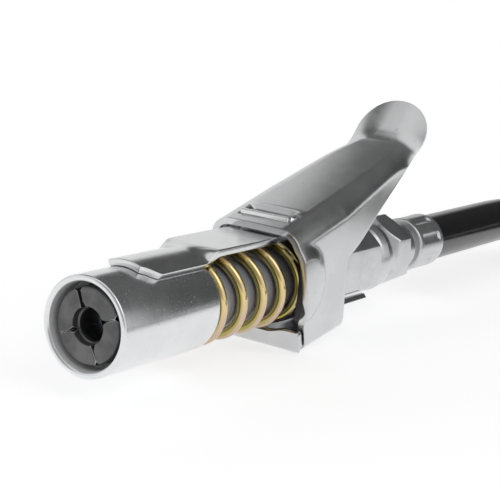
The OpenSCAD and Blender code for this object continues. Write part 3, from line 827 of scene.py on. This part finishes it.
def wall_end(v):
    """Where the wall's rear edge lies along the back: below the arch it steps and leans."""
    if v > -ARCH_DROP:
        return FRONT
    height, foot, lean, step, fade = 15.6, 15, 3.15, 0.85, 0.7
    t = (-ARCH_DROP - v) / height
    return foot + lean * (1 - t) + step * math.exp(-t * height / fade)


def bulge(u, v):
    """How far the wall stands out round the pivot: a ramp, and a low dome inside it."""
    rho = math.hypot(u - PIVOT_U, v - PIVOT_V)
    ramp, dome = 1.05, 0.45
    return ramp * (1 - ease(rho, 6.2, 9.0)) + dome * max(0, 1 - (rho / 7) ** 2)


def lip_point(k, run):
    """Row k of the front lip, at a run forwards along the plate, round its bend and up."""
    start, bend_r, lip_half = 0.4, 1.6, 10.7
    low_corner, top_corner, end_rise = 1.2, 0.5, 0.45
    arc = bend_r * math.pi / 2
    edge = HALF - FOOT_BEND
    if k <= FLOOR_ROW:
        y = edge + (lip_half - edge) * (1 - (k - FOOT_ROW) / FOOT_ROWS)
    else:
        y = edge * (1 - (k - FLOOR_ROW) / PLATE_ROWS)
    low = clamp((2.4 - run) / 1.6)
    top = clamp((run - LIP_RUN + 0.7) / 0.7)
    half = lip_half - low_corner * (1 - math.sqrt(1 - low ** 2))
    half -= top_corner * (1 - math.sqrt(1 - 0.98 * top ** 2))
    run += max(0, run - start - arc) * end_rise * ease(y, 3, 8)
    a = clamp((run - start) / arc) * math.pi / 2
    u = -min(run, start) - bend_r * math.sin(a)
    v = -WALL_DROP + bend_r * (1 - math.cos(a)) + max(0, run - start - arc)
    return u, y * half / lip_half, v


def front_point(k, u):
    """Row k from the crown to the middle of the bottom plate, at u along the back."""
    if u < 0:
        return lip_point(k, -u)
    share = u / FRONT
    if k <= ARCH_ROW:
        y, depth = (float(c) for c in arch_rows(HALF, FLAT, ARCH_DROP, FRACTIONS[k]))
        v = -depth
        lift, lift_run = 0.0, 2.8
        if SLOT_REAR - TINY <= u < SLOT_REAR + lift_run:
            lift = 0.75 * (1 - (u - SLOT_REAR) / lift_run) ** 2 * (1 - ease(y, 4.8, 7.6))
        return u, y + bulge(u, v) * ease(y, 7.5, HALF), v + lift
    if k <= FOOT_ROW:
        s = (k - ARCH_ROW) / WALL_ROWS
        v = -ARCH_DROP + s * (-WALL_DROP + FOOT_BEND + ARCH_DROP)
        at = share * wall_end(v)
        v -= FOOT_TILT * at * s
        return at, HALF + bulge(at, v), v
    at = share * FOOT_END
    base = -WALL_DROP - FOOT_TILT * at
    if k <= FLOOR_ROW:
        a = math.pi / 2 * (k - FOOT_ROW) / FOOT_ROWS
        return at, HALF - FOOT_BEND * (1 - math.cos(a)), base + FOOT_BEND * (1 - math.sin(a))
    return at, (HALF - FOOT_BEND) * (1 - (k - FLOOR_ROW) / PLATE_ROWS), base


def even(u, places, values):
    """A value along the back, averaged over a short run."""
    return float(np.interp(u + np.linspace(-1.8, 1.8, 9), places, values).mean())


def lever_rings():
    """Half width, flat half width, drop, place and slope of each ring behind the walls."""
    centre = np.array(lever_point(BACK_LEN, 0))
    centre += PAD_BEND * np.array([-math.sin(SLOPE), math.cos(SLOPE)])

    def on_bend(slope):
        return centre + PAD_BEND * np.array([math.sin(slope), -math.cos(slope)])

    for u in (
        20.2, 21.5, 23, 24.5, 26, 27.5, 29, 30.6, 32.2, 34, 36, 38, 40, 42, 44, 45.6, 47.2, 48.8,
        50.4,
    ):
        half = HALF + (PAD_HALF - HALF) * min(1, (u - FRONT) / (BEND_U - FRONT))
        yield half, even(u, FLAT_U, FLAT_Y), even(u, DROP_U, DROP_V), lever_point(u, 0), SLOPE
    for i in range(11):
        slope = SLOPE + (PAD_SLOPE - SLOPE) * i / 10
        u = BACK_LEN + PAD_RUN * i / 10
        yield PAD_HALF, even(u, FLAT_U, FLAT_Y), even(u, DROP_U, DROP_V), on_bend(slope), slope
    pad_turn = 2 * math.atan(PAD_DROP / (PAD_HALF - PAD_FLAT))
    pad_r = (PAD_HALF - PAD_FLAT) / math.sin(pad_turn)
    up_pad = np.array([math.cos(PAD_SLOPE), math.sin(PAD_SLOPE)])
    for a in np.radians([8, 16, 24, 32, 40, 48, 56, 64, 71, 77, 82, 86, 88.5]):
        half = PAD_HALF * math.cos(a)
        out = max(0, half - PAD_FLAT)
        drop = max(0.02, pad_r - math.sqrt(pad_r ** 2 - out ** 2))
        place = on_bend(PAD_SLOPE) + PAD_LEN * math.sin(a) * up_pad
        yield half, min(PAD_FLAT, 0.6 * half), drop, place, PAD_SLOPE


def make_lever():
    """Rings of rows from the lip to the pad's tip, left open at the slot and beside the lip."""
    loop = 2 * MIDDLE_ROW
    lips = [-LIP_RUN, -5.2, -4.9, -4.5, -3.9, -3.3, -2.91, -2.49, -2.07, -1.65, -1.24, -0.82, -0.4]
    slot = [SLOT_FRONT, SLOT_REAR]
    spread = [k / 34 * FRONT for k in range(35)]
    front = lips + sorted([u for u in spread if min(abs(u - s) for s in slot) > 0.25] + slot)
    index = {}
    verts = []

    def add(key, point):
        index[key] = len(verts)
        verts.append(point)

    for c, u in enumerate(front):
        for k in range(loop):
            side, m = (1, k) if k <= MIDDLE_ROW else (-1, loop - k)
            if u < 0 and m < FOOT_ROW:
                continue
            at, y, v = front_point(m, u)
            x, z = lever_point(at, v)
            add((c, k), (x, side * y, z))
    total = len(front)
    for half, flat, drop, origin, slope in lever_rings():
        ys, depths = arch_rows(half, flat, drop, FRACTIONS)
        for side, rows in ((1, range(ARCH_ROW + 1)), (-1, range(1, ARCH_ROW + 1))):
            for m in rows:
                add((total, m if side > 0 else loop - m), (
                    float(origin[0] + depths[m] * math.sin(slope)), side * float(ys[m]),
                    float(origin[1] - depths[m] * math.cos(slope)),
                ))
        total += 1

    slot_row = int(np.argmin(abs(STATIONS - SLOT_HALF)))
    faces = []
    for c in range(total - 1):
        for k in range(loop):
            n = (k + 1) % loop
            corners = [(c, k), (c, n), (c + 1, n), (c + 1, k)]
            if any(key not in index for key in corners):
                continue
            low, high = sorted((min(k, loop - k), min(n, loop - n)))
            if c < len(front) - 1:
                u0, u1 = front[c], front[c + 1]
                in_slot = u0 >= SLOT_FRONT - TINY and u1 <= SLOT_REAR + TINY and high <= slot_row
                beside_lip = u0 > -0.9 and u1 <= 0 and low < FLOOR_ROW
                if in_slot or beside_lip:
                    continue
            elif high > ARCH_ROW:
                continue
            faces.append(tuple(index[key] for key in reversed(corners)))
    sheet_piece("thumb_lever_sheet", verts, faces, "lever_body", SHEET, "thumb_lever")


def make_heel(name, side):
    """Tab under the rear body whose outer face leans upwards."""
    x0, x1, low, high = 68.4, 84.1, -6.46, -5.36
    inner, outer = 8.0, 9.6
    section = [
        (inner, high), (outer - 0.7, high), (outer, low + 0.25), (outer - 0.2, low), (inner, low),
    ]
    stations = [x0, x0 + 2, x1 - 1.2, x1]
    verts = [(x, side * y, z) for x in stations for y, z in section]
    faces = prism_faces(len(section), len(stations) - 1)
    obj = piece(name, verts, faces, "lever_body", SHEET, None, "plated_sheet", 30)
    bevel(obj, 0.12, 2, 30)


make_lever()
make_heel("heel_tab_near", -1)
make_heel("heel_tab_far", 1)


# CAD nodes that stay as they are

for node, mat in {
    "jaw_ring": SEAL, "lip_seal": SEAL, "check_ball": BARREL,
    # The spring collar takes the near-black painted-shade steel.
    "spring_stop": BARREL, "spring_collar": COLLAR_SHADE,
}.items():
    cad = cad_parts[node]
    cad.data.materials.clear()
    cad.data.materials.append(mat)


# Studio: a white floor and light walls, with dark cards past the hose and overhead, a dim side
# behind the camera and one soft lamp

FLOOR_Z = -0.01397


def make_floor():
    size, z = 3.0, FLOOR_Z
    data = bpy.data.meshes.new("floor")
    corners = [(-size, -size, z), (size, -size, z), (size, size, z), (-size, size, z)]
    data.from_pydata(corners, [], [(0, 1, 2, 3)])
    mat = bpy.data.materials.new("floor_white")
    t = Tree(mat)
    cloud = t.noise(t.stretched(1, 1, 1), 3, 2)
    colour = t.mix(cloud, grey(0.64), grey(0.66))
    matte = t.add("BsdfPrincipled", {
        "Base Color": colour, "Roughness": 0.9, "Specular IOR Level": 0.1,
    })
    path = t.nodes.new("ShaderNodeLightPath").outputs
    shown = t.math("MAXIMUM", path["Is Camera Ray"], path["Is Glossy Ray"])
    shown = t.math("MAXIMUM", shown, path["Is Transmission Ray"])
    glow = t.add("Emission", {"Color": grey(1.0), "Strength": t.math("MULTIPLY", shown, 0.61)})
    t.surface(t.add("AddShader", {0: matte, 1: glow}))
    data.materials.append(mat)
    floor = bpy.data.objects.new("floor", data)
    scene.collection.objects.link(floor)


def make_world():
    world = bpy.data.worlds.new("studio")
    scene.world = world
    t = Tree(world)
    direction = t.add("TexCoord", out=0)
    split = t.nodes.new("ShaderNodeSeparateXYZ")
    t.links.new(direction, split.inputs[0])
    x, y, z = split.outputs
    azimuth = t.math("ARCTAN2", y, x)
    height = t.math("ARCSINE", z)

    def span(value, low, high, soft):
        """1 between two angles in degrees, and 0 past their soft ends."""
        rise = t.smooth(value, math.radians(low - soft), math.radians(low + soft))
        fall = t.smooth(value, math.radians(high + soft), math.radians(high - soft))
        return t.math("MULTIPLY", rise, fall)

    def card(azimuths, heights):
        return t.math("MULTIPLY", span(azimuth, *azimuths), span(height, *heights))

    def spot(at, up, outer, inner):
        """1 round a direction given by its azimuth and height, and 0 past its outer angle."""
        a, e = math.radians(at), math.radians(up)
        aim = (math.cos(e) * math.cos(a), math.cos(e) * math.sin(a), math.sin(e))
        near = t.add("VectorMath", {0: direction, 1: aim}, out=1, operation="DOT_PRODUCT")
        return t.smooth(near, math.cos(math.radians(outer)), math.cos(math.radians(inner)))

    past_hose = card((-46, 20, 5), (-2.5, 46, 2))
    above_hose = card((-46, 36.9, 0.7), (22, 66, 2))
    overhead = card((30, 112, 8), (39.5, 63, 3))
    cards = t.math("MAXIMUM", past_hose, t.math("MAXIMUM", above_hose, overhead))
    shade = t.mix(t.smooth(height, math.radians(10), math.radians(60)), grey(0.06), grey(0.13))
    studio = t.mix(cards, grey(0.86), shade)
    dim_side, lamp = spot(-160, 18, 60, 38), spot(-88, 46, 22, 14)
    studio = t.mix(dim_side, studio, grey(0.40))
    studio = t.mix(lamp, studio, grey(1.6))
    seen = t.add("LightPath", out=0)
    colour = t.mix(seen, studio, grey(1.0))
    light = t.add("Background", {"Color": colour, "Strength": 1.0})
    t.add("OutputWorld", {"Surface": light})


make_floor()
make_world()
